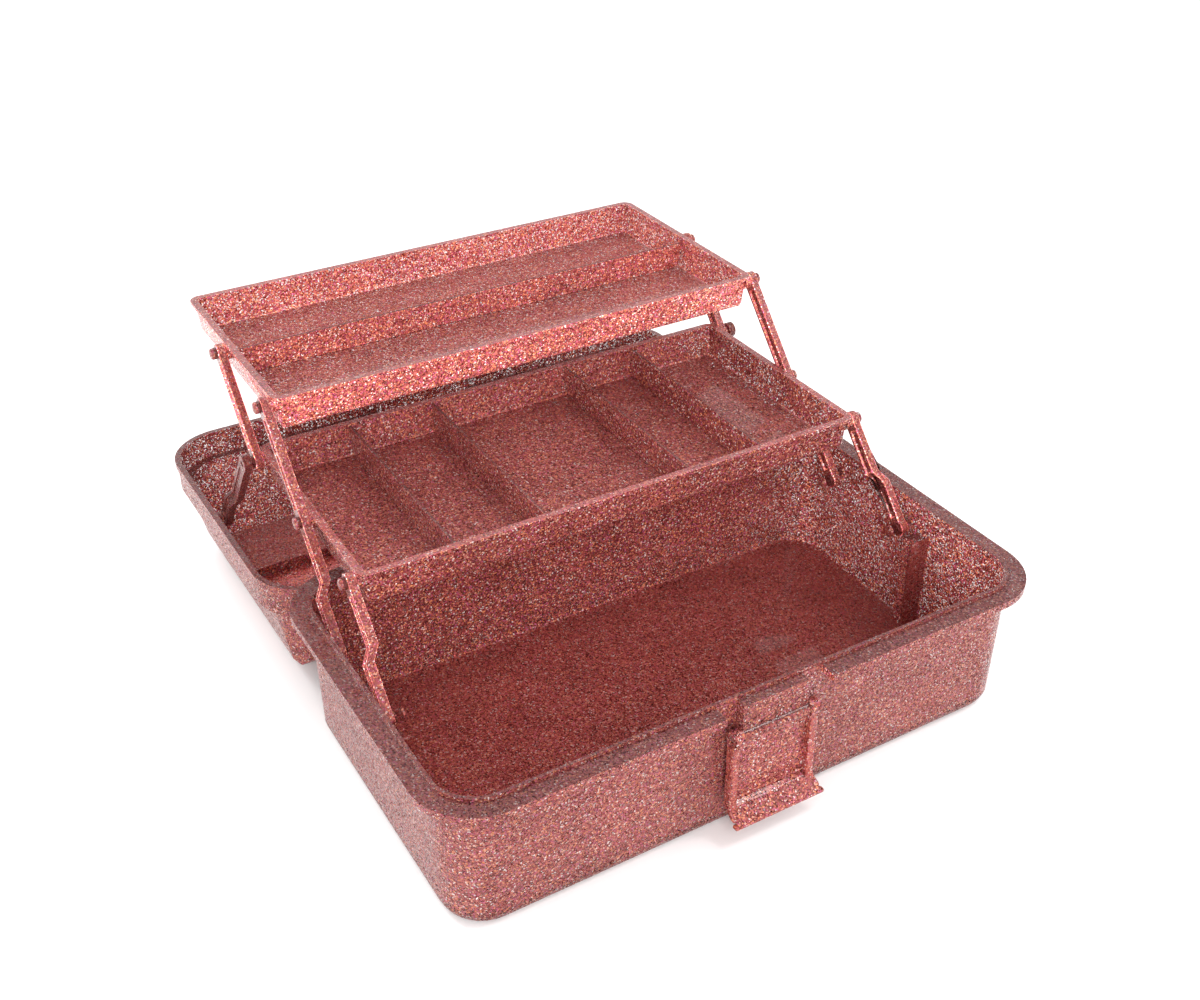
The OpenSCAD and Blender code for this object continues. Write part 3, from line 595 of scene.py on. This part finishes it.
class BOX_OT_arms(bpy.types.Operator):
    """Rounds the arms and links"""

    bl_idname = "artbox.arms"
    bl_label = "Arms"

    def execute(self, context):
        for node in sorted(n for n in NODES
                           if "_arm_" in n or "_link_" in n and "pins" not in n):
            piece = dress(node, ARM_EDGE)
            low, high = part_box(node)
            outer, inner = max(abs(low.x), abs(high.x)), min(abs(low.x), abs(high.x))
            floors = (outer - GROOVE_DEEP, outer - ARM_THICK + GROOVE_DEEP,
                      inner + ARM_THICK - GROOVE_DEEP, inner + GROOVE_DEEP)

            def choose(centre, normal):
                # the grooves' floors lie at these distances from the box's middle
                gap = min(abs(abs(centre.x) - x) for x in floors)
                return 1 if abs(normal.x) > 0.9 and gap < 0.0003 else 0

            # the grooves' floors take a darker copy, painted shade, and the rounded edges a
            # lighter one, painted highlights
            body = "deep" if "lid_link" in node else "arm"
            repaint(piece, (body, "groove"), choose, body + "_edge_highlight")
        return {"FINISHED"}


class BOX_OT_fittings(bpy.types.Operator):
    """Rounds the latch and the handle and dresses the pins"""

    bl_idname = "artbox.fittings"
    bl_label = "Latch, handle and pins"

    def execute(self, context):
        latch = dress("latch_flap", LATCH_EDGE)
        paint(latch, MATERIALS["latch"])
        handle = dress("handle", HANDLE_EDGE)
        paint(handle, MATERIALS["outer"])
        for node in sorted(n for n in NODES if n.endswith("_pins") or n == "latch_pin"):
            steel = node in ("hinge_pins", "latch_pin", "handle_pins")
            paint(NODES[node], MATERIALS["steel" if steel else "deep"])
        return {"FINISHED"}


class BOX_OT_rests(bpy.types.Operator):
    """Models the upright rib inside each end of the base, which the front arm rests on"""

    bl_idname = "artbox.rests"
    bl_label = "Arm rests"

    def execute(self, context):
        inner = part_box("front_arm_right")[0].x + 0.0005
        middle = (inner + REST_WALL_X) / 2
        for side, word in ((-1, "left"), (1, "right")):
            deselect()
            bpy.ops.mesh.primitive_cube_add(
                size=1, location=(side * middle, REST_Y, (REST_LOW + REST_TOP) / 2),
                scale=(REST_WALL_X - inner, REST_WIDE, REST_TOP - REST_LOW))
            rib = context.active_object
            settle(rib)
            # down to the floor inside the rounded corner, and a chamfer at the top
            edit(rib)
            pick_faces(rib, lambda centre, normal: normal.z < -0.9)
            bpy.ops.mesh.extrude_region_move(
                TRANSFORM_OT_translate={"value": (-side * 0.0013, 0, -0.0028)})
            bpy.ops.transform.resize(value=(0.78, 1, 1))
            nearly_top = REST_TOP - 0.0006
            pick_edges(rib, lambda a, b: a.z > nearly_top and b.z > nearly_top
                       and abs(a.x - b.x) < 1e-6 and abs(a.x) < middle)
            bpy.ops.mesh.bevel(offset=0.0035, segments=3, affect="EDGES")
            end_edit()
            apply_modifier(rib, "BEVEL", width=0.0003, segments=2, limit_method="ANGLE",
                           angle_limit=math.radians(50))
            smooth(rib, 40)
            finish_piece(rib, "arm_rest_" + word, "base", MATERIALS["rib"])
        return {"FINISHED"}


class BOX_OT_latch_bead(bpy.types.Operator):
    """Models the thick rounded bead down the latch's sides and along its lip"""

    bl_idname = "artbox.latch_bead"
    bl_label = "Latch bead"

    def execute(self, context):
        low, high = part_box("latch_flap")
        bead = context.scene.box_sizes.bead
        front, back = high.y - BEAD_TO, high.y - BEAD_FROM
        deselect()
        bpy.ops.mesh.primitive_cube_add(
            size=1, scale=(bead, back - front, 0.003),
            location=(high.x + 0.0003 - bead / 2, (front + back) / 2,
                      high.z - BEAD_UNDER_TOP))
        sides = context.active_object
        settle(sides)
        edit(sides)
        pick_faces(sides, lambda centre, normal: normal.z < -0.9)
        # straight down the plate, then out with the lip, thinner towards its tip
        for move, thin in (((0, 0, -0.0300), 1.0), ((0.0003, -0.0016, -0.0036), 0.8),
                           ((0.0008, -0.0052, -0.0034), 0.6)):
            bpy.ops.mesh.extrude_region_move(TRANSFORM_OT_translate={"value": move})
            bpy.ops.transform.resize(value=(1, thin, 1))
        end_edit()
        apply_modifier(sides, "BEVEL", width=0.0013, segments=4, limit_method="ANGLE",
                       angle_limit=math.radians(40))
        apply_modifier(sides, "MIRROR", use_axis=(True, False, False), use_clip=False,
                       use_mirror_merge=False)
        smooth(sides, 45)
        finish_piece(sides, "latch_side_beads", "latch",
                     MATERIALS["latch_bead"])
        deselect()
        bpy.ops.mesh.primitive_cube_add(
            size=1, location=(0, low.y + 0.0017, low.z + 0.0001),
            scale=(high.x - low.x + 0.0026, LIP_BEAD_DEEP, LIP_BEAD_HIGH))
        lip = context.active_object
        settle(lip)
        # its ends draw in and turn back a little
        edit(lip)
        pick_faces(lip, lambda centre, normal: abs(normal.x) > 0.9)
        bpy.ops.mesh.inset(thickness=0.0005, depth=0.0006)
        end_edit()
        apply_modifier(lip, "BEVEL", width=0.0007, segments=3, limit_method="ANGLE",
                       angle_limit=math.radians(25))
        smooth(lip, 50)
        finish_piece(lip, "latch_lip_bead", "latch",
                     MATERIALS["latch_bead"])
        return {"FINISHED"}


def pivot_cap(radius):
    """One domed cap, facing +x, with its flat back at x = 0."""
    deselect()
    bpy.ops.mesh.primitive_cylinder_add(
        vertices=20, radius=radius, depth=CAP_EDGE, location=(CAP_EDGE / 2, 0, 0),
        rotation=(0, math.pi / 2, 0))
    cap = bpy.context.active_object
    settle(cap)
    edit(cap)
    pick_faces(cap, lambda centre, normal: normal.x > 0.9)
    for inset, out in ((0.12, 0.00035), (0.22, 0.00035), (0.30, 0.00018)):
        bpy.ops.mesh.inset(thickness=radius * inset, depth=0)
        bpy.ops.transform.translate(value=(out, 0, 0))
    end_edit()
    smooth(cap, 60)
    return cap


class BOX_OT_caps(bpy.types.Operator):
    """Models the domed end of every pivot pin"""

    bl_idname = "artbox.caps"
    bl_label = "Pivot caps"

    def execute(self, context):
        master = pivot_cap(context.scene.box_sizes.knob)

        def row(node):
            low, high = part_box(node)
            r = (high.z - low.z) / 2
            return low.y + r, high.y - r, (low.z + high.z) / 2, high.x

        front, rear, height, _ = row("base_pivot_pins")
        spacing = rear - front
        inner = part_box("front_arm_right")[0].x
        places = [("base", front, height, inner, -1), ("base", rear, height, inner, -1)]
        first, last, height, tip = row("middle_tray_pins")
        places += [("middle_tray", y, height, tip, 1) for y in (first, first + spacing, last)]
        first, last, height, tip = row("upper_tray_pins")
        places += [("upper_tray", y, height, tip, 1) for y in (first, last)]
        for count, (body, y, z, x, facing) in enumerate(places):
            for side in (-1, 1):
                cap = master.copy()
                cap.data = master.data.copy()
                context.scene.collection.objects.link(cap)
                cap.location = (side * (x + 0.0001 * facing), y, z)
                cap.rotation_euler.z = 0 if side * facing > 0 else math.pi
                name = "pivot_cap_%d_%s" % (count + 1, "left" if side < 0 else "right")
                finish_piece(cap, name, body, MATERIALS["arm"])
        bpy.data.objects.remove(master)
        return {"FINISHED"}


class BOX_OT_stage(bpy.types.Operator):
    """Sets the floor, the lights and the camera"""

    bl_idname = "artbox.stage"
    bl_label = "Stage"

    def execute(self, context):
        deselect()
        bpy.ops.mesh.primitive_plane_add(size=12, location=(0, 0, -0.0002))
        floor = context.active_object
        floor.name = "Floor"
        paint(floor, floor_paper("Matt white paper", context.scene.box_colours.stage))
        world = bpy.data.worlds.new("Studio")
        context.scene.world = world
        world.use_nodes = True
        background = world.node_tree.nodes["Background"]
        background.inputs["Color"].default_value = linear("ffffff")
        background.inputs["Strength"].default_value = 0.85
        # name, place, where it points, width and watts of each lamp
        for name, place, aim, size, power in (
                ("Key", (-0.7, -1.5, 1.1), (0, 0.05, 0.08), 1.0, 22),
                ("Fill", (1.6, -0.4, 1.3), (0, 0.05, 0.05), 1.4, 9),
                ("Back", (-0.5, 1.7, 1.6), (0, 0.1, 0.05), 1.4, 18),
                ("Glint right", (0.69, -0.40, 1.39), (0, 0.1, 0.08), 0.3, 4),
                ("Glint left", (-0.56, 1.02, 1.09), (0, 0.1, 0.08), 0.3, 4)):
            light = bpy.data.lights.new(name, "AREA")
            light.shape = "SQUARE"
            light.size = size
            light.energy = power
            lamp = bpy.data.objects.new(name, light)
            context.scene.collection.objects.link(lamp)
            lamp.location = place
            towards = Vector(aim) - Vector(place)
            lamp.rotation_euler = towards.to_track_quat("-Z", "Y").to_euler()
        data = bpy.data.cameras.new("Camera")
        camera = bpy.data.objects.new("Camera", data)
        context.scene.collection.objects.link(camera)
        camera.location = (-0.3127, -0.4647, 0.4860)
        camera.rotation_euler = (math.radians(57.07), 0, math.radians(-30.776))
        data.lens = 42.725
        data.sensor_width = 36
        data.clip_start = 0.02
        context.scene.camera = camera
        context.scene.view_settings.view_transform = "Standard"
        return {"FINISHED"}


STEPS = (BOX_OT_materials, BOX_OT_base, BOX_OT_lid, BOX_OT_trays, BOX_OT_dividers, BOX_OT_arms,
         BOX_OT_fittings, BOX_OT_rests, BOX_OT_latch_bead, BOX_OT_caps, BOX_OT_stage)


class BOX_PT_panel(bpy.types.Panel):
    """Lists the steps that dress the art box"""

    bl_idname = "BOX_PT_panel"
    bl_label = "Art box"
    bl_space_type = "VIEW_3D"
    bl_region_type = "UI"
    bl_category = "Art box"

    def draw(self, context):
        for group in (context.scene.box_sizes, context.scene.box_colours):
            for key in group.__annotations__:
                self.layout.prop(group, key)
        for step in STEPS:
            self.layout.operator(step.bl_idname)


CLASSES = (BoxSizes, BoxColours) + STEPS + (BOX_PT_panel,)


def register():
    for cls in CLASSES:
        bpy.utils.register_class(cls)
    bpy.types.Scene.box_sizes = bpy.props.PointerProperty(type=BoxSizes)
    bpy.types.Scene.box_colours = bpy.props.PointerProperty(type=BoxColours)


def unregister():
    del bpy.types.Scene.box_sizes
    del bpy.types.Scene.box_colours
    for cls in reversed(CLASSES):
        bpy.utils.unregister_class(cls)


def main():
    register()
    for step in STEPS:
        name = step.bl_idname.split(".")[1]
        if getattr(bpy.ops.artbox, name)() != {"FINISHED"}:
            raise RuntimeError("step %s did not finish" % name)


if __name__ == "__main__":
    main()
